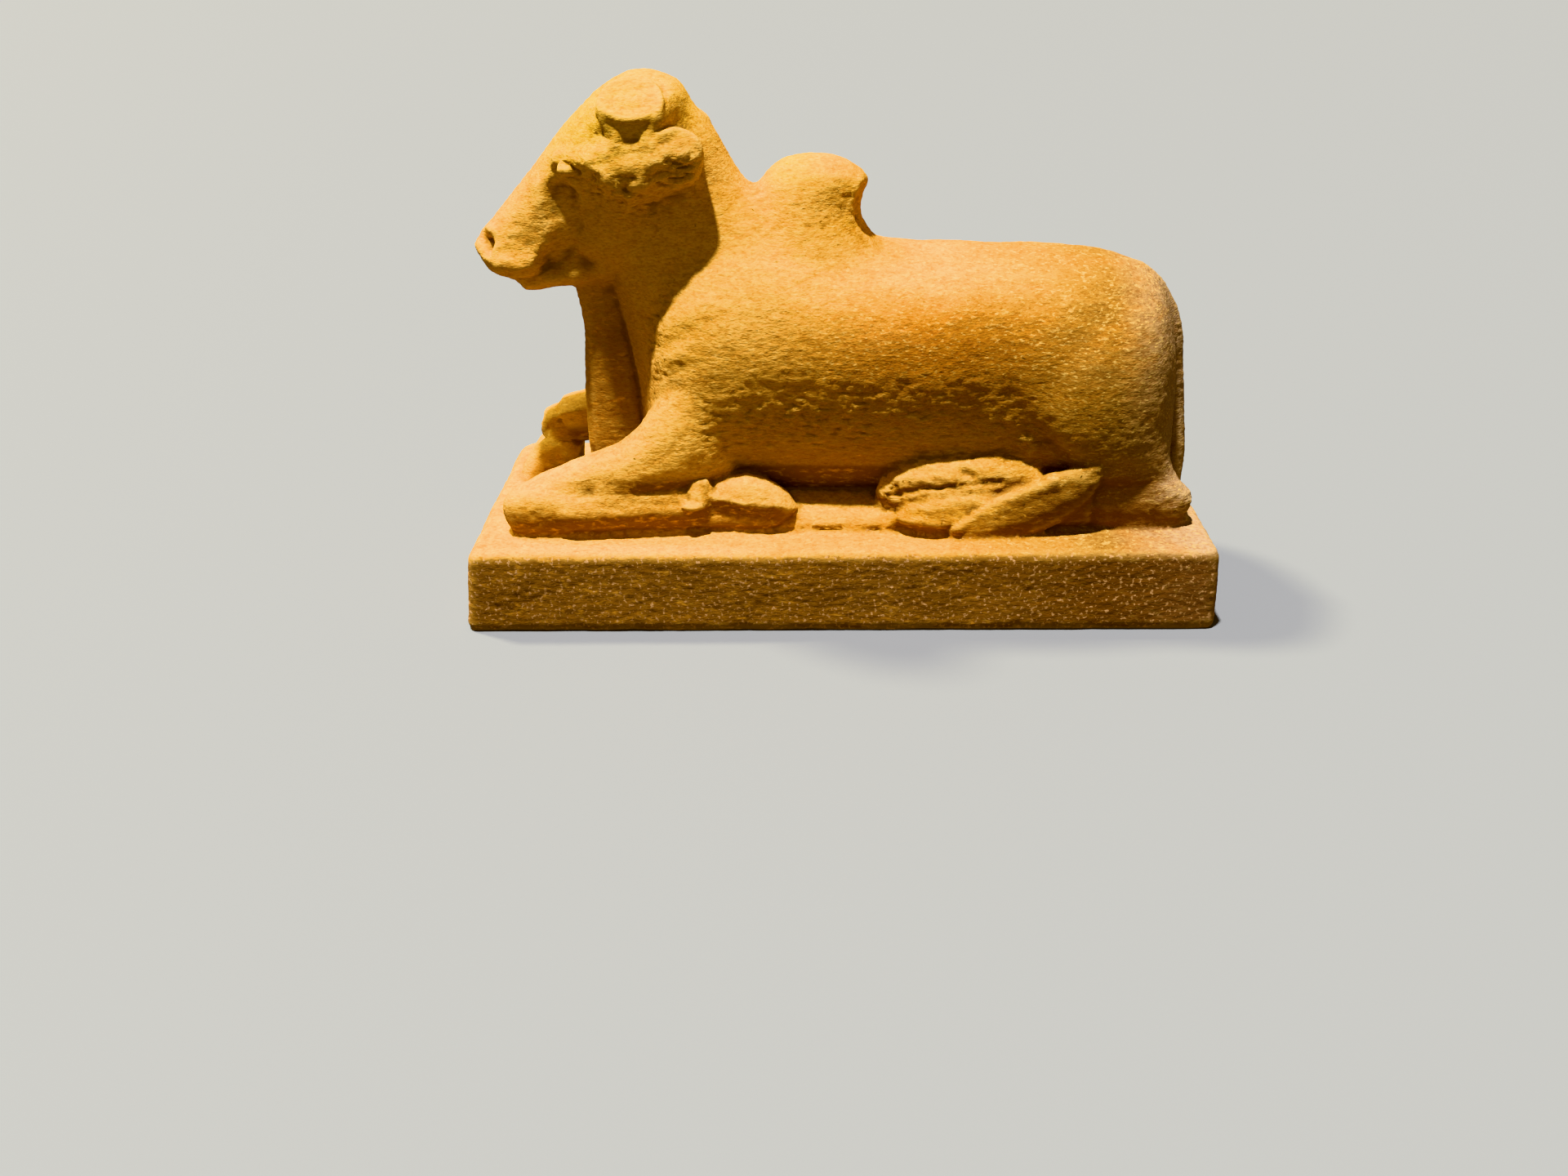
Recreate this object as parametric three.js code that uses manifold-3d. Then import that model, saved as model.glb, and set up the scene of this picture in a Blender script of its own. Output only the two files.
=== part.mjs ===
// A recumbent bull carved in sandstone, in one block with the slab that it lies on.
// Units are millimetres. +Z is up, +X runs from head to tail, and the bull's left side faces -Y.
// The origin is the centre of the slab's underside.

import * as THREE from "three";
import Module from "manifold-3d";
import { mergeVertices } from "three/addons/utils/BufferGeometryUtils.js";

// The slab
const SLAB_LENGTH = 950;
const SLAB_WIDTH = 440;
const SLAB_HEIGHT = 108;
const SLAB_WORN_EDGE = 9;
const SLAB_CORNER = 6;

// The bull. Its figure is drawn on a grid of 940 units for its length, muzzle to tail,
// with x and y from the slab's centre and z from the slab's top face.
const BULL_LENGTH = 940;
const UNIT = BULL_LENGTH / 940;

const wasm = await Module();
wasm.setup();

// Closed solids from three.js geometries

function toSolid(geometry) {
  const bare = geometry.clone();
  bare.deleteAttribute("normal");
  bare.deleteAttribute("uv");
  const merged = mergeVertices(bare, 1e-3);
  const index = merged.index.array;
  const faces = [];
  for (let i = 0; i < index.length; i += 3) {
    const [a, b, c] = [index[i], index[i + 1], index[i + 2]];
    if (a !== b && b !== c && c !== a) faces.push(a, b, c);
  }
  const solid = new wasm.Manifold(
    new wasm.Mesh({
      numProp: 3,
      vertProperties: Float32Array.from(merged.attributes.position.array),
      triVerts: Uint32Array.from(faces),
    })
  );
  return solid;
}

function flipFaces(geometry) {
  const index = geometry.index.array;
  for (let i = 0; i < index.length; i += 3) {
    [index[i + 1], index[i + 2]] = [index[i + 2], index[i + 1]];
  }
  return geometry;
}

function signedVolume(geometry) {
  const p = geometry.attributes.position;
  const index = geometry.index.array;
  const [a, b, c] = [new THREE.Vector3(), new THREE.Vector3(), new THREE.Vector3()];
  let sum = 0;
  for (let i = 0; i < index.length; i += 3) {
    a.fromBufferAttribute(p, index[i]);
    b.fromBufferAttribute(p, index[i + 1]);
    c.fromBufferAttribute(p, index[i + 2]);
    sum += a.dot(b.cross(c)) / 6;
  }
  return sum;
}

// Moves every point of a unit sphere to place(t, across, upward), where t runs from pole to pole
// and (across, upward) is the direction round the section, shrunk to nothing at both poles.
function sphereTo(place, along, around, roundedEnds) {
  const geometry = new THREE.SphereGeometry(1, around, along);
  const p = geometry.attributes.position;
  const [startRound, endRound] = roundedEnds;
  for (let i = 0; i < p.count; i++) {
    const t = (1 - THREE.MathUtils.clamp(p.getY(i), -1, 1)) / 2;
    const reach = Math.hypot(p.getX(i), p.getZ(i));
    let across = 0;
    let upward = 0;
    if (reach > 1e-6) {
      across = p.getX(i) / reach;
      upward = p.getZ(i) / reach;
    }
    let size = reach > 1e-6 ? 1 : 0;
    if (t < startRound) size *= Math.sqrt(1 - (1 - t / startRound) ** 2);
    if (t > 1 - endRound) size *= Math.sqrt(1 - (1 - (1 - t) / endRound) ** 2);
    const point = place(t, across, upward, size);
    p.setXYZ(i, point.x * UNIT, point.y * UNIT, point.z * UNIT);
  }
  if (signedVolume(geometry) < 0) flipFaces(geometry);
  return geometry;
}

// A smooth run through rows of numbers, with knots spaced by how far apart the centres lie.
function smoothRun(rows, centres) {
  const knots = [0];
  for (let i = 1; i < rows.length; i++) knots.push(knots[i - 1] + centres[i].distanceTo(centres[i - 1]));
  const total = knots[knots.length - 1];
  const run = new THREE.CubicInterpolant(
    knots.map((k) => k / total),
    rows.flat(),
    rows[0].length
  );
  return (t) => Array.from(run.evaluate(THREE.MathUtils.clamp(t, 0, 1)));
}

function rounded(direction, squareness) {
  return Math.sign(direction) * Math.abs(direction) ** (2 / squareness);
}

// A form drawn in side view. Each station holds
// [top x, top z, under x, under z, y, half width, height of the widest place from 0 to 1, squareness].
// lean makes the lower half of every section that much less square than the upper half.
function sideForm(stations, { along = 20, around = 20, ends = [0.1, 0.1], lean = 0, finish = (p) => p } = {}) {
  const centres = stations.map(([tx, tz, ux, uz, y]) => new THREE.Vector3((tx + ux) / 2, y, (tz + uz) / 2));
  const run = smoothRun(stations, centres);
  const place = (t, across, upward, size) => {
    const [tx, tz, ux, uz, y, halfWidth, widest, squareness] = run(t);
    const power = upward > 0 ? squareness : squareness - lean;
    const rise = rounded(upward, power) * size;
    const middle = 0.5 + (widest - 0.5) * size;
    const height = middle + rise * (rise > 0 ? 1 - widest : widest);
    return finish(
      new THREE.Vector3(
        ux + (tx - ux) * height,
        y + halfWidth * rounded(across, power) * size,
        uz + (tz - uz) * height
      )
    );
  };
  return toSolid(sphereTo(place, along, around, ends));
}

// A limb that follows its own line. Each station holds [x, y, z, half width, half height, squareness].
function limb(stations, { along = 16, around = 12, ends = [0.2, 0.2], upHint = [0, 0, 1] } = {}) {
  const centres = stations.map(([x, y, z]) => new THREE.Vector3(x, y, z));
  const run = smoothRun(stations, centres);
  const hint = new THREE.Vector3(...upHint);
  const place = (t, across, upward, size) => {
    const [x, y, z, halfWidth, halfHeight, squareness] = run(t);
    const ahead = run(t + 0.01);
    const behind = run(t - 0.01);
    const heading = new THREE.Vector3(ahead[0] - behind[0], ahead[1] - behind[1], ahead[2] - behind[2]).normalize();
    const side = new THREE.Vector3().crossVectors(hint, heading).normalize();
    const up = new THREE.Vector3().crossVectors(heading, side);
    return new THREE.Vector3(x, y, z)
      .addScaledVector(side, halfWidth * rounded(across, squareness) * size)
      .addScaledVector(up, halfHeight * rounded(upward, squareness) * size);
  };
  return toSolid(sphereTo(place, along, around, ends));
}

const farSide = (solid) => solid.mirror([0, 1, 0]);

// The body

// Muscles and hollows of the body: [x, z, reach along x, reach along z, how far it stands out].
const BODY_SWELLS = [
  [-165, 190, 75, 130, 14],
  [60, 215, 130, 90, 5],
  [190, 215, 42, 130, -9],
  [345, 175, 95, 110, 12],
  [330, 320, 70, 50, 8],
];

function swell(solidPoint) {
  const side = THREE.MathUtils.clamp(solidPoint.y / 70, -1, 1);
  for (const [x, z, reachX, reachZ, lift] of BODY_SWELLS) {
    const distance = ((solidPoint.x - x) / reachX) ** 2 + ((solidPoint.z - z) / reachZ) ** 2;
    solidPoint.y += side * lift * Math.exp(-distance);
  }
  return solidPoint;
}

function torso() {
  return sideForm(
    [
      [-252, 262, -275, 70, 0, 58, 0.5, 2.2],
      [-228, 322, -248, 20, 0, 102, 0.52, 2.2],
      [-170, 372, -180, -4, 0, 130, 0.56, 2.2],
      [-90, 378, -90, -4, 0, 141, 0.58, 2.2],
      [0, 355, 0, -4, 0, 148, 0.6, 2.2],
      [90, 343, 90, -4, 0, 152, 0.61, 2.2],
      [190, 340, 190, -4, 0, 150, 0.6, 2.2],
      [290, 335, 290, -4, 0, 147, 0.56, 2.3],
      [367, 322, 370, -4, 0, 136, 0.52, 2.4],
      [412, 296, 418, -4, 0, 115, 0.5, 2.4],
      [444, 240, 440, 0, 0, 74, 0.46, 2.3],
    ],
    { along: 28, around: 24, ends: [0.05, 0.04], lean: 0.25, finish: swell }
  );
}

// Stone left uncut beneath the belly on the near side, between the folded legs.
function uncutStone() {
  return sideForm(
    [
      [-150, 14, -150, -20, -72, 66, 0.5, 2.2],
      [-90, 32, -90, -20, -66, 78, 0.5, 2.1],
      [20, 36, 20, -20, -66, 82, 0.5, 2],
      [130, 38, 130, -20, -72, 84, 0.5, 2],
      [230, 34, 230, -20, -80, 78, 0.5, 2],
    ],
    { along: 12, around: 14, ends: [0.15, 0.1] }
  );
}

function hump() {
  return sideForm(
    [
      [96, 300, -170, 300, 0, 112, 0.5, 2.1],
      [68, 322, -138, 360, 0, 92, 0.5, 2.1],
      [50, 346, -114, 404, 0, 76, 0.5, 2.1],
      [30, 376, -100, 430, 0, 66, 0.5, 2.1],
      [28, 402, -84, 447, 0, 58, 0.5, 2.1],
      [48, 432, -60, 460, 0, 48, 0.5, 2.1],
      [22, 452, -38, 464, 0, 32, 0.5, 2.1],
    ],
    { along: 14, around: 16, ends: [0.04, 0.2] }
  );
}

function neck() {
  return sideForm(
    [
      [-40, 380, -250, 20, 0, 122, 0.5, 2.2],
      [-92, 408, -262, 110, 0, 104, 0.5, 2.2],
      [-112, 420, -270, 175, 0, 92, 0.5, 2.2],
      [-128, 438, -284, 240, 0, 84, 0.5, 2.2],
      [-148, 474, -297, 300, 0, 80, 0.5, 2.2],
      [-167, 506, -300, 345, 0, 76, 0.5, 2.2],
      [-200, 532, -302, 400, 0, 72, 0.5, 2.2],
      [-232, 544, -304, 440, 0, 66, 0.5, 2.2],
    ],
    { along: 14, around: 16, ends: [0.06, 0.06] }
  );
}

function dewlap() {
  return sideForm(
    [
      [-240, 0, -338, -8, 0, 30, 0.5, 3],
      [-250, 60, -341, 60, 0, 28, 0.5, 3],
      [-262, 130, -342, 130, 0, 26, 0.5, 3],
      [-270, 200, -340, 195, 0, 25, 0.5, 3],
      [-278, 250, -338, 240, 0, 25, 0.5, 3],
      [-284, 295, -342, 275, 0, 28, 0.5, 2.8],
      [-290, 330, -356, 302, 0, 32, 0.5, 2.6],
    ],
    { along: 12, around: 10, ends: [0.04, 0.08] }
  );
}

function tail() {
  return limb(
    [
      [352, 0, 322, 14, 10, 2],
      [404, 0, 296, 16, 14, 2],
      [433, 0, 250, 16, 15, 2],
      [445, 0, 174, 17, 15, 2],
      [453, 0, 94, 18, 15, 2],
      [455, 0, 29, 20, 15, 2],
      [452, 0, -14, 22, 15, 2],
    ],
    { along: 14, around: 8, ends: [0.05, 0.05], upHint: [1, 0, 0] }
  );
}

// The head

function skull() {
  return sideForm(
    [
      [-172, 520, -212, 372, 0, 60, 0.6, 2.3],
      [-210, 552, -226, 348, 0, 78, 0.6, 2.4],
      [-250, 563, -246, 326, 0, 88, 0.6, 2.4],
      [-292, 547, -270, 312, 0, 90, 0.64, 2.6],
      [-326, 517, -302, 303, 0, 83, 0.66, 2.7],
      [-358, 484, -332, 298, 0, 68, 0.6, 2.6],
      [-390, 447, -358, 297, 0, 56, 0.5, 2.5],
      [-422, 410, -384, 300, 0, 52, 0.46, 2.5],
      [-452, 376, -412, 304, 0, 53, 0.46, 2.4],
      [-475, 354, -442, 313, 0, 44, 0.46, 2.3],
    ],
    { along: 22, around: 20, ends: [0.06, 0.05] }
  );
}

// The bony ridge from the eye back to the ear, the widest part of the head.
function temple() {
  return limb(
    [
      [-338, -58, 468, 12, 14, 2.2],
      [-318, -63, 466, 20, 24, 2.2],
      [-284, -73, 460, 32, 40, 2.2],
      [-250, -78, 458, 35, 50, 2.2],
      [-212, -70, 466, 34, 40, 2.2],
      [-178, -58, 468, 24, 28, 2.2],
    ],
    { along: 12, around: 12, ends: [0.12, 0.12] }
  );
}

function lowerJaw() {
  return sideForm(
    [
      [-270, 360, -286, 300, 0, 60, 0.5, 2.3],
      [-320, 352, -330, 295, 0, 52, 0.5, 2.3],
      [-368, 345, -372, 292, 0, 47, 0.5, 2.3],
      [-396, 336, -400, 287, 0, 44, 0.5, 2.3],
      [-418, 326, -422, 293, 0, 38, 0.5, 2.3],
    ],
    { along: 10, around: 12, ends: [0.08, 0.1] }
  );
}

// A horn broken off short: its flat break faces up and outwards. The far one has lost a little more.
const HORN_RADIUS = 41;
const HORN_ROOT_RADIUS = 45;
const HORN_RISE = THREE.MathUtils.degToRad(56);
const HORN_STUB = 64;
const HORN_BREAK = [-253, -86, 541];
const FAR_HORN_LOSS = 14;

function hornStub(loss = 0) {
  const stub = new THREE.CylinderGeometry(HORN_RADIUS * UNIT, HORN_ROOT_RADIUS * UNIT, HORN_STUB * UNIT, 18, 1);
  stub.translate(0, -(HORN_STUB / 2 + loss) * UNIT, 0);
  stub.rotateX(Math.PI - HORN_RISE);
  stub.translate(...HORN_BREAK.map((v) => v * UNIT));
  return toSolid(stub);
}

// The stump of a broken ear: a raised oval with a sunken middle.
function ear() {
  const stump = limb(
    [
      [-206, -60, 458, 34, 34, 2.2],
      [-200, -92, 468, 36, 36, 2.2],
      [-197, -108, 473, 34, 34, 2.4],
      [-195, -115, 475, 30, 30, 2.4],
    ],
    { along: 8, around: 14, ends: [0.1, 0.12] }
  );
  const hollow = limb(
    [
      [-194, -109, 458, 14, 10, 2],
      [-192, -117, 461, 22, 17, 2],
      [-190, -132, 464, 24, 21, 2],
    ],
    { along: 6, around: 12, ends: [0.3, 0.2] }
  );
  return stump.subtract(hollow);
}

function eye() {
  return limb(
    [
      [-350, -68, 450, 6, 4, 2],
      [-338, -76, 452, 10, 7, 2],
      [-324, -80, 450, 6, 4, 2],
    ],
    { along: 8, around: 10, ends: [0.35, 0.35] }
  );
}

function nostril() {
  return limb(
    [
      [-472, -28, 356, 7, 9, 2],
      [-455, -42, 360, 7, 9, 2],
      [-440, -56, 366, 4, 5, 2],
    ],
    { along: 8, around: 10, ends: [0.2, 0.2] }
  );
}

// The near foreleg is folded back under itself: forearm above, shin and hoof below on the slab.

function foreLegNear() {
  const forearm = sideForm(
    [
      [-160, 300, -110, 40, -60, 50, 0.45, 2.1],
      [-192, 244, -146, 34, -84, 58, 0.45, 2.1],
      [-228, 186, -184, 42, -102, 55, 0.45, 2.1],
      [-255, 140, -224, 46, -110, 49, 0.45, 2.2],
      [-288, 111, -276, 44, -116, 42, 0.45, 2.2],
      [-332, 96, -326, 40, -120, 36, 0.45, 2.2],
      [-378, 77, -378, 26, -122, 33, 0.45, 2.2],
      [-420, 61, -424, 12, -124, 28, 0.45, 2.2],
    ],
    { along: 15, around: 14, ends: [0.06, 0.08] }
  );
  const shin = limb(
    [
      [-438, -132, 22, 28, 27, 2.3],
      [-405, -137, 30, 33, 35, 2.5],
      [-360, -138, 29, 32, 34, 2.6],
      [-305, -136, 29, 29, 33, 2.7],
      [-250, -130, 27, 27, 31, 2.7],
      [-205, -127, 29, 28, 33, 2.6],
      [-180, -126, 33, 29, 37, 2.5],
      [-160, -124, 30, 27, 33, 2.5],
      [-125, -126, 34, 32, 39, 2.4],
      [-90, -122, 27, 34, 30, 2.4],
      [-62, -114, 17, 26, 16, 2.3],
    ],
    { along: 22, around: 12, ends: [0.05, 0.04] }
  );
  const dewclaws = [
    [-184, -118, 66, 12, 14],
    [-188, -152, 44, 13, 15],
  ].map(([x, y, z, halfWidth, halfLength]) =>
    limb(
      [
        [x - halfLength, y, z - 8, halfWidth * 0.7, 8, 2],
        [x, y, z, halfWidth, 12, 2],
        [x + halfLength, y, z - 6, halfWidth * 0.7, 8, 2],
      ],
      { along: 5, around: 8, ends: [0.3, 0.3] }
    )
  );
  return dewclaws.reduce((leg, claw) => leg.add(claw), forearm.add(shin));
}

// The far foreleg stands on its cloven hoof, with the knee raised behind the dewlap.

function foreLegFar() {
  const forearm = sideForm(
    [
      [-140, 300, -100, 10, 84, 56, 0.5, 2.1],
      [-200, 232, -160, 30, 92, 58, 0.5, 2.1],
      [-240, 178, -210, 52, 98, 52, 0.5, 2.2],
      [-280, 152, -268, 30, 100, 42, 0.5, 2.2],
      [-318, 136, -312, 34, 100, 37, 0.5, 2.2],
      [-352, 120, -348, 44, 100, 35, 0.5, 2.3],
      [-392, 106, -376, 56, 99, 36, 0.5, 2.4],
      [-412, 92, -388, 56, 98, 32, 0.5, 2.4],
    ],
    { along: 12, around: 12, ends: [0.05, 0.07] }
  );
  const pastern = sideForm(
    [
      [-416, 96, -346, 92, 98, 28, 0.5, 2.4],
      [-419, 74, -352, 66, 97, 29, 0.5, 2.5],
      [-427, 54, -356, 44, 96, 32, 0.5, 2.5],
    ],
    { along: 7, around: 12, ends: [0.12, 0.12] }
  );
  const toes = [73, 118].map((y) =>
    sideForm(
      [
        [-421, 56, -366, 52, y, 20, 0.5, 2.4],
        [-434, 36, -364, 30, y, 23, 0.5, 2.5],
        [-452, 8, -366, 4, y, 25, 0.5, 2.6],
        [-456, -14, -366, -14, y, 25, 0.5, 2.6],
      ],
      { along: 7, around: 10, ends: [0.12, 0.06] }
    )
  );
  return toes.reduce((leg, toe) => leg.add(toe), forearm.add(pastern));
}

// The hind legs

function thigh() {
  return sideForm(
    [
      [276, 300, 390, 306, -56, 44, 0.5, 2.2],
      [238, 240, 412, 262, -78, 68, 0.5, 2.3],
      [216, 186, 421, 200, -92, 75, 0.5, 2.3],
      [228, 142, 420, 140, -96, 74, 0.5, 2.3],
      [256, 104, 424, 96, -96, 67, 0.5, 2.3],
      [292, 70, 438, 60, -94, 55, 0.5, 2.3],
      [318, 20, 450, 20, -94, 54, 0.5, 2.8],
      [318, -14, 470, -14, -94, 56, 0.5, 3],
    ],
    { along: 16, around: 16, ends: [0.06, 0.05] }
  );
}

function shank() {
  return limb(
    [
      [440, -98, 8, 42, 26, 2.6],
      [418, -104, 30, 46, 38, 2.5],
      [380, -108, 35, 44, 43, 2.5],
      [330, -110, 33, 40, 41, 2.5],
      [282, -104, 24, 30, 32, 2.4],
    ],
    { along: 10, around: 12, ends: [0.1, 0.1] }
  );
}

function hindHoofNear() {
  return limb(
    [
      [330, -118, 34, 36, 36, 2.4],
      [270, -122, 33, 38, 35, 2.4],
      [210, -126, 30, 38, 34, 2.5],
      [150, -129, 27, 39, 34, 2.6],
      [105, -128, 20, 38, 30, 2.6],
      [74, -120, 12, 26, 20, 2.4],
    ],
    { along: 14, around: 12, ends: [0.06, 0.06] }
  );
}

function tailTuft() {
  return limb(
    [
      [334, -142, 80, 12, 7, 2.2],
      [312, -148, 68, 18, 21, 2.2],
      [270, -153, 46, 20, 34, 2.3],
      [225, -157, 27, 20, 35, 2.3],
      [180, -162, 10, 16, 27, 2.2],
      [136, -168, 0, 8, 10, 2.2],
    ],
    { along: 12, around: 10, ends: [0.05, 0.05] }
  );
}

function hindHoofFar() {
  return limb(
    [
      [262, -116, 60, 30, 26, 2.3],
      [215, -122, 62, 32, 32, 2.3],
      [180, -124, 60, 30, 33, 2.3],
      [146, -124, 56, 33, 38, 2.4],
      [100, -120, 48, 34, 40, 2.4],
      [50, -104, 26, 24, 24, 2.3],
    ],
    { along: 12, around: 10, ends: [0.06, 0.06] }
  );
}

// The slab

function slab() {
  const outline = new THREE.Shape();
  const x = SLAB_LENGTH / 2 - SLAB_WORN_EDGE;
  const y = SLAB_WIDTH / 2 - SLAB_WORN_EDGE;
  const r = SLAB_CORNER;
  outline.moveTo(-x + r, -y);
  outline.lineTo(x - r, -y);
  outline.quadraticCurveTo(x, -y, x, -y + r);
  outline.lineTo(x, y - r);
  outline.quadraticCurveTo(x, y, x - r, y);
  outline.lineTo(-x + 4 * r, y);
  outline.quadraticCurveTo(-x + r, y, -x + 0.6 * r, y - 4 * r);
  outline.lineTo(-x, -y + r);
  outline.quadraticCurveTo(-x, -y, -x + r, -y);
  const body = new THREE.ExtrudeGeometry(outline, {
    depth: SLAB_HEIGHT - 2 * SLAB_WORN_EDGE,
    bevelEnabled: true,
    bevelThickness: SLAB_WORN_EDGE,
    bevelSize: SLAB_WORN_EDGE,
    bevelSegments: 2,
    curveSegments: 4,
    steps: 1,
  });
  body.translate(0, 0, SLAB_WORN_EDGE);
  return toSolid(body);
}

// One stone

const figure = [
  hump(),
  neck(),
  dewlap(),
  tail(),
  skull(),
  lowerJaw(),
  temple(),
  farSide(temple()),
  hornStub(),
  farSide(hornStub(FAR_HORN_LOSS)),
  ear(),
  farSide(ear()),
  eye(),
  farSide(eye()),
  uncutStone(),
  foreLegNear(),
  foreLegFar(),
  thigh(),
  farSide(thigh()),
  shank(),
  hindHoofNear(),
  tailTuft(),
  hindHoofFar(),
]
  .reduce((whole, form) => whole.add(form), torso())
  .subtract(nostril())
  .subtract(farSide(nostril()));
const stone = slab().add(figure.translate([0, 0, SLAB_HEIGHT]));

const result = stone.getMesh();
const geometry = new THREE.BufferGeometry();
geometry.setAttribute("position", new THREE.BufferAttribute(Float32Array.from(result.vertProperties), 3));
geometry.setIndex(new THREE.BufferAttribute(Uint32Array.from(result.triVerts), 1));
geometry.computeVertexNormals();

const sandstone = new THREE.MeshStandardMaterial({ color: 0xc79a5b, roughness: 0.95, metalness: 0 });
const bull = new THREE.Mesh(geometry, sandstone);
bull.name = "nandi_bull_on_slab";

const group = new THREE.Group();
group.add(bull);

export default group;
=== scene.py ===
import math

import bmesh
import bpy
import numpy as np
from mathutils import Matrix, Vector, noise


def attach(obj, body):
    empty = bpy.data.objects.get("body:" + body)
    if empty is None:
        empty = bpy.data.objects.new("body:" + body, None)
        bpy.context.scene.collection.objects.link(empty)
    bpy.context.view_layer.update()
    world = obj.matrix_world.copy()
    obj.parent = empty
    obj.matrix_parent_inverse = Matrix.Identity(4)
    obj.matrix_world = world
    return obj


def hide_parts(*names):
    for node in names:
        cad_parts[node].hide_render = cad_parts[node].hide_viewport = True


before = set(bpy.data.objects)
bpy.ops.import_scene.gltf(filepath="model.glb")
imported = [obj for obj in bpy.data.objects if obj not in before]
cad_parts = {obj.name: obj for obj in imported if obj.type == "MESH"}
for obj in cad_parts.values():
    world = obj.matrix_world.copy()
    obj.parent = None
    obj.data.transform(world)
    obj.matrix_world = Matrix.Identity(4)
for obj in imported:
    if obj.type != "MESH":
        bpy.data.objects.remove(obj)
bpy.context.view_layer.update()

# The stone: a humped bull lying on its slab, carved in one block of sandstone.
# Its forms come from the construction solid. They are remeshed finely and their facets rubbed away, as a
# mason's abrasive would, each stretch as far as its own size allows: flanks the most, hooves the least.
MM = 0.001
STONE_NODE = "nandi_bull_on_slab"
SLAB_TOP = 108
VOXEL = 2.5
MOST_TRIANGLES = 196000

stone_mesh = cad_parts[STONE_NODE].data.copy()
stone = bpy.data.objects.new("nandi_bull_stone", stone_mesh)
bpy.context.scene.collection.objects.link(stone)


def finish_modifier(piece, kind, **settings):
    modifier = piece.modifiers.new(kind.title(), kind)
    for name, value in settings.items():
        setattr(modifier, name, value)
    finished = bpy.data.meshes.new_from_object(piece.evaluated_get(bpy.context.evaluated_depsgraph_get()))
    piece.modifiers.clear()
    piece.data = finished


def points_of(piece):
    flat = np.empty(len(piece.data.vertices) * 3)
    piece.data.vertices.foreach_get("co", flat)
    return flat.reshape(-1, 3) / MM


def normals_of(piece):
    flat = np.empty(len(piece.data.vertices) * 3)
    piece.data.vertex_normals.foreach_get("vector", flat)
    return flat.reshape(-1, 3)


def move_points(piece, points):
    piece.data.vertices.foreach_set("co", (points * MM).ravel())
    piece.data.update()


def weight_points(piece, name, weights, levels=20):
    """Adds a vertex group, its weights rounded to a few levels, as Blender takes one weight at a time."""
    group = piece.vertex_groups.new(name=name)
    steps = np.round(np.clip(weights, 0, 1) * levels).astype(int)
    for step in range(1, levels + 1):
        group.add(np.flatnonzero(steps == step).tolist(), step / levels, "REPLACE")


def inside(points, low, high, margin):
    """1 deep inside a box, 0 outside it, and a ramp as wide as the margin between."""
    return np.clip(np.minimum(points - low, high - points).min(axis=1) / margin, 0, 1)


def near_spot(points, middle, radii):
    """1 at a spot's middle, falling softly to 0 past its radii."""
    return np.exp(-((((points - np.array(middle)) / radii) ** 2).sum(axis=1) ** 1.5))


solid = bmesh.new()
solid.from_mesh(stone_mesh)
bmesh.ops.remove_doubles(solid, verts=solid.verts, dist=0.02 * MM)
solid.to_mesh(stone_mesh)
solid.free()
finish_modifier(stone, "REMESH", mode="VOXEL", voxel_size=VOXEL * MM, adaptivity=0)

# How strongly each stretch is rubbed down: name, box corners, soft margin, passes.
RUBBED = [
    ("all_above_slab", (-530, -260, 107), (530, 260, 720), 10, 12),
    ("horn_upper_rim", (-312, -140, 638), (-196, -30, 700), 8, 50),
    ("barrel_and_rump", (-235, -260, 175), (500, 260, 720), 60, 150),
    ("neck_and_hump", (-300, -260, 200), (110, 260, 590), 40, 60),
    ("cheek_and_throat", (-375, -130, 380), (-225, 130, 535), 30, 110),
    ("near_knee", (-490, -260, 110), (-350, -60, 205), 24, 60),
    ("near_haunch_foot", (335, -260, 112), (520, -20, 260), 30, 60),
]
for name, low, high, margin, passes in RUBBED:
    weight_points(stone, name, inside(points_of(stone), low, high, margin))
    finish_modifier(stone, "SMOOTH", factor=0.5, iterations=passes, vertex_group=name)
    stone.vertex_groups.clear()

# The carving: strokes that raise or cut the stone along a path. Each gives its path on the near side, its
# width and its height, all in millimetres, and is repeated on the far side where the form is a pair.
skin = points_of(stone)
facing = normals_of(stone)
NEAR = (1,)
BOTH = (1, -1)
OUT = (0, -1, 0.1)
# A stroke has faded out this many of its widths from its path.
STROKE_REACH = 2.4


def reach_to(path, points, blunt):
    """Distance of each point to a path, with each axis counted by its share in blunt."""
    distance = np.full(len(points), 1e9)
    line = np.array(path, float) * blunt
    here = points * blunt
    for start, stop in zip(line, np.vstack([line[1:], line[-1:]])):
        run = stop - start
        along = np.clip((here - start) @ run / max(run @ run, 1e-9), 0, 1)
        distance = np.minimum(distance, np.linalg.norm(here - start - along[:, None] * run, axis=1))
    return distance


def carve(path, width, height, sharp=2, sides=NEAR, blunt=(1, 0.35, 1), push=None):
    for side in sides:
        line = np.array(path, float) * (1, side, 1)
        margin = STROKE_REACH * width / np.array(blunt)
        boxed = (skin > line.min(axis=0) - margin) & (skin < line.max(axis=0) + margin)
        close = np.flatnonzero(boxed.all(axis=1))
        amount = height * np.exp(-((reach_to(line, skin[close], blunt) / width) ** sharp))
        away = facing[close] if push is None else np.array(push, float) * (1, side, 1)
        skin[close] += amount[:, None] * away


def beside(path, x=0, y=0, z=0):
    return [(a + x, b + y, c + z) for a, b, c in path]


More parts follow.
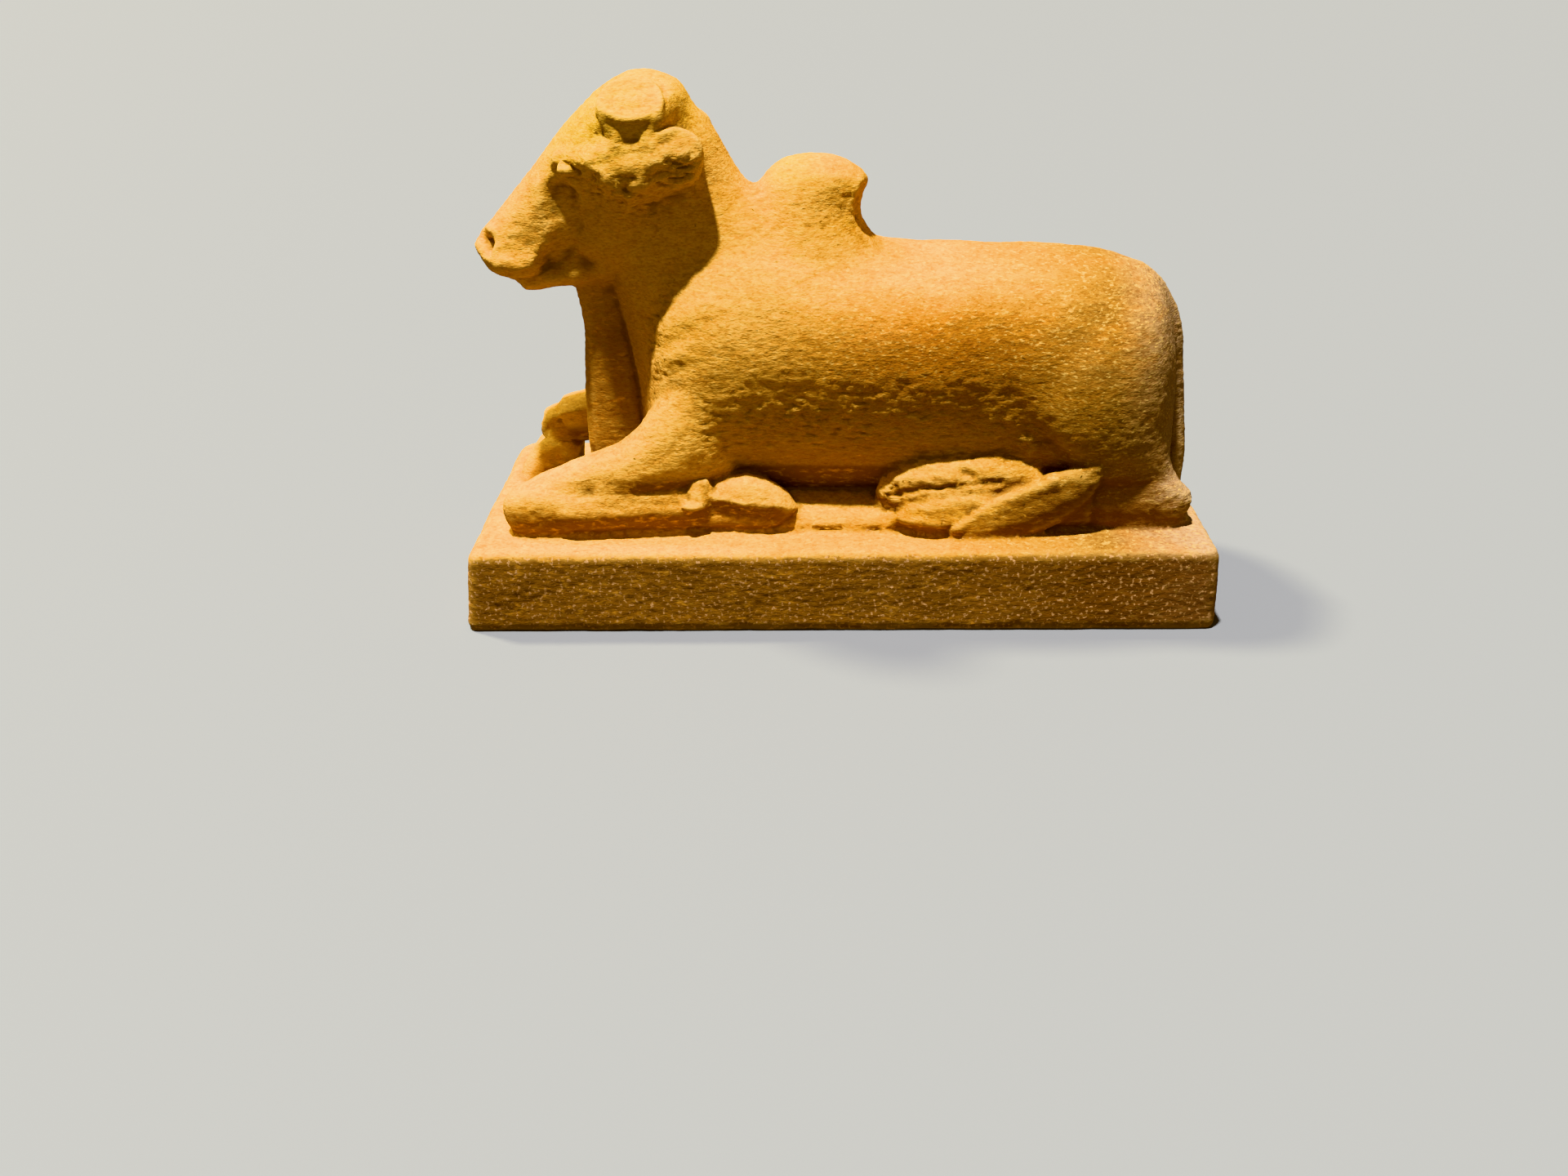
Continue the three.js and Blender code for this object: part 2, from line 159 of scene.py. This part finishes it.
# Head: the brow stands over the cheek, and the eye is a small almond under three fine wrinkles.
BROW = [(-350, -61, 570), (-337, -70, 575), (-324, -81, 574), (-308, -94, 571), (-288, -104, 558)]
BROW += [(-272, -104, 540), (-256, -97, 523), (-240, -104, 540), (-230, -112, 562)]
carve(BROW[:5], 9, 5, sides=BOTH)
carve(BROW[4:], 9, 2.5, sides=BOTH)
MUZZLE_EDGE = [(-379, -52, 536), (-374, -57, 506), (-367, -60, 486), (-373, -56, 464), (-388, -49, 444)]
carve(MUZZLE_EDGE, 9, 4, sides=BOTH)
carve([(-350, -58, 526), *beside(MUZZLE_EDGE[1:], x=23, z=-4)], 20, -14, sharp=4, sides=BOTH)
carve([(-346, -56, 446), (-338, -55, 436), (-328, -54, 430)], 13, -10, sides=BOTH)
carve([(-318, -78, 516), (-314, -74, 482), (-318, -62, 440)], 24, -11, sharp=3, sides=BOTH)
carve([(-284, -84, 506), (-276, -80, 480)], 22, -4, sides=BOTH)
EYE = [(-343, -73, 561), (-335, -79, 561)]
carve(EYE, 4.4, 2.8, sides=BOTH)
LID = [(-358, -58, 562), (-349, -68, 569), (-337, -76, 572), (-324, -84, 568), (-314, -90, 562)]
carve(LID, 3, 3, sides=BOTH)
carve(beside(LID, z=8), 3, 2.6, sides=BOTH)
carve(beside(LID, x=3, z=16), 3, 2.2, sides=BOTH)
# Muzzle: a deep comma-shaped nostril, and lips whose upper edge stands over the chin.
carve([(-462, -16, 456), (-452, -24, 442)], 9, 5, push=(-1, -0.3, -0.3), sides=BOTH)
carve([(-444, -22, 430), (-425, -27, 422), (-405, -32, 420)], 12, 7, push=(-0.3, -0.3, -1), sides=BOTH)
carve([(-430, -42, 437), (-400, -48, 436)], 16, 12, push=OUT, sides=BOTH)
carve([(-464, -20, 480), (-452, -34, 482), (-441, -42, 480)], 5, 4, sides=BOTH)
carve([(-457, -35, 469), (-449, -42, 465), (-452, -42, 456)], 8, -13, sharp=3, sides=BOTH)
LIPS = [(-440, -34, 424), (-420, -40, 420), (-398, -46, 422), (-385, -48, 431), (-377, -50, 438)]
carve(beside(LIPS, z=4), 4, 2.5, sides=BOTH)
carve(beside(LIPS, z=-7), 7, -5, sides=BOTH)
# Throat: the neck's side ends in a clean edge that arches over the recessed dewlap.
ARCH = [(-312, -50, 426), (-302, -44, 414), (-291, -38, 396), (-284, -36, 370)]
ARCH += [(-278, -36, 330), (-271, -36, 290)]
carve(ARCH, 10, 3, push=OUT, sides=BOTH)
# Horn: the stone stands up close under the break, and parts from it in a narrow shadow below.
carve([(-298, -88, 632), (-290, -94, 614), (-276, -100, 601)], 11, 9, push=OUT, sides=BOTH)
carve([(-212, -90, 634), (-219, -97, 616), (-230, -102, 603)], 11, 11, push=OUT, sides=BOTH)
carve([(-266, -106, 600), (-242, -107, 600)], 13, 5, push=OUT, sides=BOTH)
carve([(-300, -78, 650), (-299, -82, 636), (-294, -90, 622)], 9, 4, push=OUT, sides=BOTH)
carve([(-294, -82, 610), (-288, -88, 592)], 13, 7, push=OUT, sides=BOTH)
carve([(-208, -58, 646), (-208, -62, 634), (-210, -72, 622)], 13, 22, push=OUT, sides=BOTH)
carve([(-298, -98, 578), (-262, -107, 568), (-236, -110, 574)], 19, 12, push=OUT, sides=BOTH)
carve([(-282, -103, 550), (-260, -102, 532), (-242, -106, 548)], 14, 12, push=OUT, sides=BOTH)
for drop in (7, 14):
    carve([(-296 + drop / 2, -96, 632 - drop), (-287, -102, 620 - drop), (-272, -108, 612 - drop)], 2.4, -2)
# Ear: a broken stump. A thin rim runs over its top, and below its middle the stone has broken away.
carve([(-206, -110, 586), (-188, -108, 584)], 12, 4, push=OUT, sides=BOTH)
carve([(-214, -106, 607), (-197, -100, 612), (-177, -98, 604), (-168, -100, 586)], 4, 3, sides=BOTH)
carve([(-218, -110, 598), (-206, -108, 598)], 5, -2.5, push=OUT)
carve([(-218, -118, 560), (-198, -114, 556), (-178, -112, 558)], 10, -5, push=OUT, sides=BOTH)
carve([(-208, -118, 546), (-184, -114, 547)], 8, -6, push=OUT, sides=BOTH)
# Shoulder: three soft folds of skin that climb back from the chest.
for fold in (
    [(-238, -104, 359), (-220, -112, 370), (-196, -118, 385), (-168, -121, 402)],
    [(-244, -106, 316), (-226, -122, 328), (-206, -127, 339)],
    [(-246, -116, 288), (-228, -124, 306), (-214, -128, 316)],
):
    carve(fold, 13, 2.4)
    carve(beside(fold[:3], 4, 0, -17), 9, -1.8)
# Hump: it curls back over the spine in a sharp edge, and a shallow scar rings its foot.
HUMP_EDGE = [(28, -34, 536), (20, -42, 526), (14, -48, 510), (15, -50, 492), (24, -48, 476), (42, -38, 460)]
carve(HUMP_EDGE, 6, 4)
carve(beside(HUMP_EDGE[1:], 14, 14, 0), 8, -5)
carve([(62, -42, 449), (68, -50, 440), (64, -60, 428)], 3, -1.6)
# Flank: the thigh's front edge stands out over the belly, and a small fold hangs in the groin.
FLANK = [(214, -144, 320), (219, -146, 297), (228, -146, 276), (240, -147, 262), (252, -148, 246)]
FLANK += [(262, -150, 232)]
carve(beside(FLANK, x=22, z=4), 22, 2, sides=BOTH)
carve(beside(FLANK[1:], x=-10, z=-4), 15, -2, sides=BOTH)
carve([(238, -137, 228), (243, -134, 212)], 11, 4)
carve([(262, -150, 226), (284, -152, 208)], 9, -4)
# Foreleg: a fold parts forearm from shin, one dewclaw stands up and one is a scar, and the hoof's blunt
# side breaks sharply from its top.
CREASE = [(-308, -155, 167), (-292, -153, 165), (-242, -146, 162), (-215, -146, 165)]
carve(CREASE, 9, 5, push=(0, -1, 0.4))
carve([(-350, -160, 140), (-200, -157, 140)], 12, 4, push=OUT)
carve([(-187, -147, 168), (-175, -147, 168)], 8, 10, sharp=3, push=(0, -0.3, 1))
carve([(-167, -137, 172), (-164, -141, 168)], 5, -5)
carve([(-196, -162, 158), (-184, -162, 158)], 5, -4)
carve([(-204, -163, 149), (-192, -165, 146), (-178, -163, 149)], 3.6, 3)
HOOF_EDGE = [(-162, -150, 155), (-136, -154, 152), (-115, -156, 150), (-84, -153, 146), (-60, -130, 134)]
carve(HOOF_EDGE, 4.5, 3.5)
carve(beside(HOOF_EDGE, z=-17), 12, -4)
carve([(-340, -166, 112), (-260, -164, 112), (-190, -160, 112)], 9, -4)
# Hind legs and tail: the near hoof has a flat top and a sheer side. The tail's tuft lies beside it, drawn
# forward from under the thigh like a leaf with a ridge along its top. The far hoof ends in a rough break with
# a dark notch behind it.
carve([(64, -146, 128), (84, -156, 127), (105, -163, 126), (128, -166, 124), (146, -165, 130)], 5, 3)
carve([(74, -156, 113), (112, -166, 110), (150, -168, 112)], 7, -5)
carve([(74, -143, 158), (84, -148, 163), (104, -152, 168), (151, -154, 173), (203, -152, 178)], 3.5, -3)
carve([(164, -158, 139), (189, -155, 155), (214, -156, 169), (238, -162, 178)], 4.5, -4)
carve([(134, -182, 110), (156, -172, 129), (187, -167, 152), (228, -168, 167), (269, -164, 182)], 6, 4)
carve([(269, -164, 182), (300, -158, 192), (326, -154, 197)], 6, 4)
carve([(316, -156, 190), (336, -152, 182)], 14, 4, push=OUT)
carve([(332, -154, 180), (326, -158, 166)], 4, -2.5)
FAR_HOOF_TOP = [(55, -128, 160), (66, -128, 176), (80, -126, 188)]
FAR_HOOF_TOP += [(100, -128, 198), (140, -130, 203), (200, -130, 202)]
carve(beside(FAR_HOOF_TOP, z=-3), 7, 3.5, push=OUT)
carve([(156, -146, 188), (168, -148, 184)], 5, -7, push=OUT)
# Far foreleg: a band rings the fetlock and another the coronet, and the toe is broken beside a dark gap.
FETLOCK = [(-420, 86, 178), (-412, 77, 182), (-397, 71, 193), (-384, 66, 199), (-367, 67, 202)]
CORONET = [(-432, 66, 149), (-424, 65, 154), (-414, 65, 160), (-387, 69, 162), (-371, 76, 162)]
for band in (FETLOCK, CORONET):
    carve(beside(band, z=2), 3.5, 2.5, blunt=(1, 0.5, 1))
    carve(beside(band, z=-6), 3.5, -1.5, blunt=(1, 0.5, 1))
carve([(-374, 70, 152)], 7, -9, push=OUT)
carve([(-362, 84, 160), (-356, 70, 174)], 12, 14, push=(1, 0, 0))
move_points(stone, skin)

# The hollow of the cheek was rubbed once more after it was cut.
rubbed_cheek = inside(skin * (1, -1, 1), (-360, 20, 396), (-232, 130, 532), 14)
rubbed_cheek += inside(skin, (-360, 20, 396), (-232, 130, 532), 14)
weight_points(stone, "cheek_hollow", rubbed_cheek)
finish_modifier(stone, "SMOOTH", factor=0.5, iterations=80, vertex_group="cheek_hollow")
stone.vertex_groups.clear()

# The weather: centuries outdoors have pitted the grain, frayed every arris and broken the horns and ears.
# Each patch lists its middle, its radii and how far its grain stands, in millimetres.
EVEN_GRAIN = 0.75
PATCHES = [
    ((-275, -92, 552), (50, 40, 30), 2.2),
    ((-256, -100, 528), (28, 40, 26), 2.6),
    ((-194, -108, 562), (34, 30, 26), 4.2),
    ((-254, -92, 645), (36, 40, 26), 0.5),
    ((-402, -46, 446), (26, 40, 40), 0.5),
    ((90, -150, 245), (150, 70, 70), 1.0),
    ((-90, -150, 250), (110, 60, 50), 1.2),
    ((-236, -110, 340), (24, 50, 70), 1.0),
    ((10, -60, 500), (36, 60, 40), 0.4),
    ((66, -138, 158), (22, 24, 22), 2.6),
    ((210, -124, 188), (34, 40, 16), 0.8),
    ((-396, 50, 140), (20, 30, 16), 3.0),
    ((-130, -158, 142), (50, 20, 12), 1.2),
    ((240, -142, 234), (20, 30, 26), 1.2),
    ((450, -120, 140), (30, 60, 30), 1.2),
]
SMOOTH_CHEEK = ((-290, -60, 470), (60, 40, 50), -0.6)
SLAB_GRAIN = 0.5

skin = points_of(stone)
facing = normals_of(stone)
depth = np.full(len(skin), EVEN_GRAIN)
for side in (1, -1):
    share = 1.0 if side > 0 else 0.5
    for middle, radii, height in [*PATCHES, SMOOTH_CHEEK]:
        depth += share * height * near_spot(skin * (1, side, 1), middle, radii)
slab_side = np.clip((SLAB_TOP - 3 - skin[:, 2]) / 6, 0, 1) * (np.abs(facing[:, 2]) < 0.7)
depth += (SLAB_GRAIN - EVEN_GRAIN) * slab_side
depth = np.maximum(depth, 0.15)


def stone_noise(points, size, octaves, seed):
    """Rough noise whose largest grain has the given size in millimetres, about -1 to 1."""
    shifted = points / size + seed
    return np.array([noise.fractal(Vector(p), 0.9, 2.1, octaves) for p in shifted])


# The point of the chisel left short level ripples, so the grain runs about three times longer than high.
coarse = stone_noise(skin * (0.65, 0.65, 1.4), 15, 3, 7.3)
fine = stone_noise(skin * (0.5, 0.5, 1.6), 7, 2, 21.9)
broad = stone_noise(skin, 75, 2, 3.1)
pits = np.maximum(stone_noise(skin * (0.8, 0.8, 1.3), 11, 2, 40.7) - 0.25, 0)
relief = depth * (0.5 * coarse + 1.0 * fine - 0.8 * pits) + 1.4 * broad
skin += facing * relief[:, None]

# The underside is the one plane that was sawn flat, and its lower arris is chipped in an uneven line.
SLAB_HALF_LENGTH = 475
SLAB_HALF_WIDTH = 220
FLAT_BELOW = 1.6
chip = np.clip(1 - skin[:, 2] / 9, 0, 1) * (0.7 + 3.6 * stone_noise(skin * (1, 1, 0.2), 38, 3, 61.0))
outward = skin[:, :2] / (SLAB_HALF_LENGTH, SLAB_HALF_WIDTH)
on_end = np.abs(outward[:, 0]) > np.abs(outward[:, 1])
edge = slab_side > 0
for axis, chipped in ((0, edge & on_end), (1, edge & ~on_end)):
    skin[chipped, axis] -= np.sign(skin[chipped, axis]) * np.maximum(chip[chipped], 0)
# The slab was never quite square: it spreads a little towards its foot, most at the head end.
on_slab = skin[:, 2] < SLAB_TOP - 2
spread = np.where(skin[:, 0] < 0, 9, 4) * (1 - skin[:, 2] / SLAB_TOP)
skin[on_slab, 0] *= 1 + spread[on_slab] / SLAB_HALF_LENGTH
skin[:, 2] = np.where(skin[:, 2] < FLAT_BELOW, 0, skin[:, 2])
move_points(stone, skin)

# Far and flat stretches need fewer triangles than the carved near side.
plain = np.where(skin[:, 2] < 2, 1.0, 0.3) + np.where(skin[:, 1] > 40, 0.35, 0)
weight_points(stone, "plain", plain)
finish_modifier(
    stone,
    "DECIMATE",
    decimate_type="COLLAPSE",
    ratio=MOST_TRIANGLES / (2 * len(stone.data.polygons)),
    vertex_group="plain",
    vertex_group_factor=1,
    use_collapse_triangulate=True,
)
stone.vertex_groups.clear()
skin = points_of(stone)
skin[:, 2] = np.maximum(skin[:, 2], 0)
move_points(stone, skin)
for polygon in stone.data.polygons:
    polygon.use_smooth = True

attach(stone, "root")
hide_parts(STONE_NODE)

# Where the skin is hollow or proud at the scale of a fingertip: the hollows are darkened, as dirt and as
# painted shade, and what stands proud is paled, as wear.
rubbed = stone.copy()
rubbed.data = stone.data.copy()
bpy.context.scene.collection.objects.link(rubbed)
finish_modifier(rubbed, "SMOOTH", factor=0.5, iterations=14)
facing = normals_of(stone)
proud = ((skin - points_of(rubbed)) * facing).sum(axis=1)
bpy.data.objects.remove(rubbed)


def keep_on_skin(name, values):
    stone.data.attributes.new(name, "FLOAT", "POINT").data.foreach_set("value", values)


# The slab's sides are darkened most, as old grime and as painted shade; then, as painted shade, the belly,
# the undersides near the slab, the throat under the chin and whatever looks down.
ragged = 4 * stone_noise(skin, 14, 3, 90.0)
upright = np.clip(1.3 - 1.4 * facing[:, 2], 0, 1)
on_slab_side = np.clip((SLAB_TOP + 4 + ragged - skin[:, 2]) / 5, 0, 1) * upright
under_belly = inside(skin, (-180, -300, 110), (330, 300, 330), 60) * np.clip(0.6 - facing[:, 2], 0, 1)
under_legs = inside(skin, (-500, -300, 98), (460, 300, 190), 14) * np.clip(0.7 - 2 * facing[:, 2], 0, 1)
under_chin = near_spot(skin, (-300, 0, 290), (70, 100, 150))
# The sum is mostly painted shade; only on the slab's sides is it also grime.
grime_and_painted_shade = 0.85 * on_slab_side + 0.45 * under_belly + 1.1 * under_legs + 0.8 * under_chin
grime_and_painted_shade += 0.3 * np.clip(-facing[:, 2], 0, 1)
# A darker orange band along the middle of each flank.
flank_orange_band = near_spot(np.abs(skin - (130, 0, 0)), (0, 150, 345), (190, 90, 75))
# A yellow pool of painted light on the crown and on the hump, where the lamp behind the head falls.
painted_yellow_light = near_spot(skin, (-300, 0, 620), (110, 130, 75)) + near_spot(skin, (-75, 0, 560), (50, 90, 30))
tooling = np.full(len(skin), 0.5)
for middle, radii, height in PATCHES:
    tooling = np.maximum(tooling, min(1, 0.6 + 0.25 * height) * near_spot(skin, middle, radii))
tooling -= 0.25 * on_slab_side
keep_on_skin("proud", np.clip(proud, -2.5, 2.5) * (1 - 0.5 * (np.abs(skin[:, 2] - SLAB_TOP) < 6)))
keep_on_skin("slab_side", on_slab_side)
keep_on_skin("grime_and_painted_shade", np.clip(grime_and_painted_shade, 0, 1))
keep_on_skin("flank_orange_band", flank_orange_band)
keep_on_skin("painted_yellow_light", painted_yellow_light)
keep_on_skin("tooling", tooling)

# The finish: golden sandstone, a matte stone of fine quartz grains, tooled all over with a point
# and then weathered for centuries. It scatters light like dry sand and has no gloss.


def linear(hex_colour):
    channels = [int(hex_colour[i : i + 2], 16) / 255 for i in (1, 3, 5)]
    return [c / 12.92 if c <= 0.04045 else ((c + 0.055) / 1.055) ** 2.4 for c in channels] + [1]


def add_node(tree, kind, links=None, **settings):
    """Adds a node, sets its values by name, and links its inputs from other sockets."""
    node = tree.nodes.new(kind)
    for name, value in settings.items():
        if name in node.inputs:
            node.inputs[name].default_value = value
        else:
            setattr(node, name, value)
    for name, socket in (links or {}).items():
        tree.links.new(socket, node.inputs[name])
    return node


sandstone = bpy.data.materials.new("weathered_golden_sandstone")
sandstone.use_nodes = True
tree = sandstone.node_tree
surface = tree.nodes["Principled BSDF"]
surface.inputs["Roughness"].default_value = 0.92
surface.inputs["Specular IOR Level"].default_value = 0.15
METRE_PER_MM = 1000
where = add_node(tree, "ShaderNodeTexCoord").outputs["Object"]
along = add_node(tree, "ShaderNodeSeparateXYZ", {"Vector": where}).outputs["X"]
# The bed of the stone lies level, and the tooling with it, so its pattern runs longer along it than up.
bed = add_node(tree, "ShaderNodeMapping", {"Vector": where}, Scale=(0.6, 0.6, 1.5)).outputs["Vector"]

# Each pattern: the size of its largest grain in millimetres, and how many finer ones lie on it.
grains = {}
for size, detail in ((110, 3), (34, 4), (9, 4), (7, 4), (4, 2), (3, 2)):
    pattern = add_node(
        tree, "ShaderNodeTexNoise", {"Vector": bed}, Scale=METRE_PER_MM / size, Detail=detail, Roughness=0.6
    )
    grains[size] = pattern.outputs["Fac"]
# Pale flecks about five millimetres wide, strewn evenly over the slab's darkened sides: partly pale grains of
# the stone, partly painted highlights where the tooled bumps catch the light.
fleck_pattern = add_node(tree, "ShaderNodeTexNoise", {"Vector": where}, Scale=METRE_PER_MM / 5, Detail=2)
flecks = fleck_pattern.outputs["Fac"]
kept = {
    name: add_node(tree, "ShaderNodeAttribute", attribute_name=name).outputs["Fac"]
    for name in ("proud", "slab_side", "grime_and_painted_shade", "flank_orange_band", "painted_yellow_light", "tooling")
}

# The colour, laid on in coats, the broad zones before the grain: what steers each coat, from where to where,
# how much of it goes on at the most, an attribute that holds it back, how it mixes, and its colour. What
# steers a coat along the bull counts in metres from the slab's middle, towards the tail.
COATS = [
    (grains[110], 0.35, 0.65, 1.0, None, "MIX", "#DEB261"),
    # Paler towards the head: painted light, where the lamp near the head falls strongest.
    (along, 0.1, -0.12, 0.6, None, "MIX", "#E2B45C"),
    # Painted yellow light on the crown and the hump.
    (kept["painted_yellow_light"], 0, 1, 0.65, None, "MIX", "#D2B62A"),
    (kept["flank_orange_band"], 0, 1, 0.85, None, "MIX", "#9E6114"),
    # Darker towards the haunch: painted shade, where the light falls off towards the tail.
    (along, 0.13, 0.33, 0.85, None, "MIX", "#7C5A2A"),
    # Greyer at the rump end: partly the stone's own greyer tone, partly painted cooler light there.
    (along, 0.34, 0.47, 0.8, None, "MIX", "#B29C84"),
    (grains[34], 0.5, 0.72, 0.35, None, "MIX", "#C08630"),
    (grains[9], 0.58, 0.35, 0.45, None, "MULTIPLY", "#CDAE7C"),
    (grains[3], 0.55, 0.36, 0.5, None, "MULTIPLY", "#B8905C"),
    (grains[4], 0.56, 0.7, 0.5, None, "MIX", "#EBCB7C"),
    # A dark brown coat where that mask is high: painted shade, with grime as well on the slab's sides.
    (grains[9], 0.28, 0.46, 0.95, "grime_and_painted_shade", "MIX", "#6B4014"),
    # Darker in the hollows, as dirt and as painted shade; paler on what stands proud, as wear.
    (kept["proud"], -0.25, -1.5, 0.7, None, "MIX", "#5E3A16"),
    (kept["proud"], 0.25, 1.6, 0.2, None, "MIX", "#EBCB7C"),
    # Pale flecks on the slab's sides: partly grains, partly painted highlights on the bumps.
    (flecks, 0.57, 0.64, 0.9, "slab_side", "MIX", "#CDA67C"),
]
GOLD = "#CE9A38"
colour = None
for steer, start, full, most, holder, blend, tone in COATS:
    amount = add_node(
        tree,
        "ShaderNodeMapRange",
        {"Value": steer},
        **{"From Min": start, "From Max": full, "To Min": 0, "To Max": most},
    ).outputs["Result"]
    if holder:
        held = add_node(tree, "ShaderNodeMath", {0: amount, 1: kept[holder]}, operation="MULTIPLY")
        amount = held.outputs["Value"]
    links = {"Fac": amount}
    if colour:
        links["Color1"] = colour
    coat = add_node(tree, "ShaderNodeMixRGB", links, blend_type=blend, Color2=linear(tone))
    if not colour:
        coat.inputs["Color1"].default_value = linear(GOLD)
    colour = coat.outputs["Color"]
tree.links.new(colour, surface.inputs["Base Color"])

# The ripples left by the point, and the sand grain on them: pattern and height in millimetres. They stand
# higher where the stone is broken or was left rough.
BUMPS = [(7, 2.8), (3, 1.5)]
shape = None
for size, height in BUMPS:
    links = {"Height": grains[size], "Strength": kept["tooling"]}
    if shape:
        links["Normal"] = shape
    shape = add_node(tree, "ShaderNodeBump", links, Distance=height * MM).outputs["Normal"]
tree.links.new(shape, surface.inputs["Normal"])
stone.data.materials.clear()
stone.data.materials.append(sandstone)

# The floor: plain and pale. It throws no light back on the stone, so that the shade keeps its depth.
bpy.ops.mesh.primitive_plane_add(size=80)
floor = bpy.context.object
floor.name = "floor"
floor.visible_diffuse = False
pale = bpy.data.materials.new("pale_floor")
pale.use_nodes = True
pale.node_tree.nodes["Principled BSDF"].inputs["Base Color"].default_value = linear("#6A6F79")
pale.node_tree.nodes["Principled BSDF"].inputs["Roughness"].default_value = 0.8
floor.data.materials.append(pale)

# The light: one lamp high on the left and a little in front, as the shadows under brow, horn and ear ask.
key = bpy.data.lights.new("key", "SUN")
key.angle = math.radians(3)
key.energy = 9.2
key.color = linear("#FFF8EA")[:3]
key_lamp = bpy.data.objects.new("key", key)
key_lamp.rotation_euler = Vector((0.15, 0.16, -1)).to_track_quat("-Z", "Y").to_euler()
bpy.context.scene.collection.objects.link(key_lamp)
# A yellower one behind the head picks out the crown, the hump and the far foreleg.
back = bpy.data.lights.new("back", "SUN")
back.angle = math.radians(8)
back.energy = 3.6
back.color = linear("#FFF3C4")[:3]
back_lamp = bpy.data.objects.new("back", back)
back_lamp.rotation_euler = Vector((0.55, -0.35, -1)).to_track_quat("-Z", "Y").to_euler()
bpy.context.scene.collection.objects.link(back_lamp)
world = bpy.data.worlds.new("soft_surround")
world.use_nodes = True
world.node_tree.nodes["Background"].inputs["Color"].default_value = linear("#FFD9A8")
world.node_tree.nodes["Background"].inputs["Strength"].default_value = 0.21
bpy.context.scene.world = world
bpy.context.scene.view_settings.view_transform = "Khronos PBR Neutral"

# The camera: level with the bull's side, a little to the left of its middle and looking down on the slab.
CAMERA_PLACE = Vector((-0.037, -2.120, 0.915))
CAMERA_YAW, CAMERA_PITCH, CAMERA_ROLL = (math.radians(a) for a in (-1.1, 24.2, -0.7))
forward = Vector(
    (
        math.sin(CAMERA_YAW) * math.cos(CAMERA_PITCH),
        math.cos(CAMERA_YAW) * math.cos(CAMERA_PITCH),
        -math.sin(CAMERA_PITCH),
    )
)
level_right = Vector((math.cos(CAMERA_YAW), -math.sin(CAMERA_YAW), 0))
level_up = level_right.cross(forward)
right = level_right * math.cos(CAMERA_ROLL) + level_up * math.sin(CAMERA_ROLL)
up = right.cross(forward)
view = bpy.data.cameras.new("camera")
view.sensor_width = 36
view.lens = 37.65
camera = bpy.data.objects.new("camera", view)
camera.matrix_world = Matrix.Translation(CAMERA_PLACE) @ Matrix((right, up, -forward)).transposed().to_4x4()
bpy.context.scene.collection.objects.link(camera)
bpy.context.scene.camera = camera
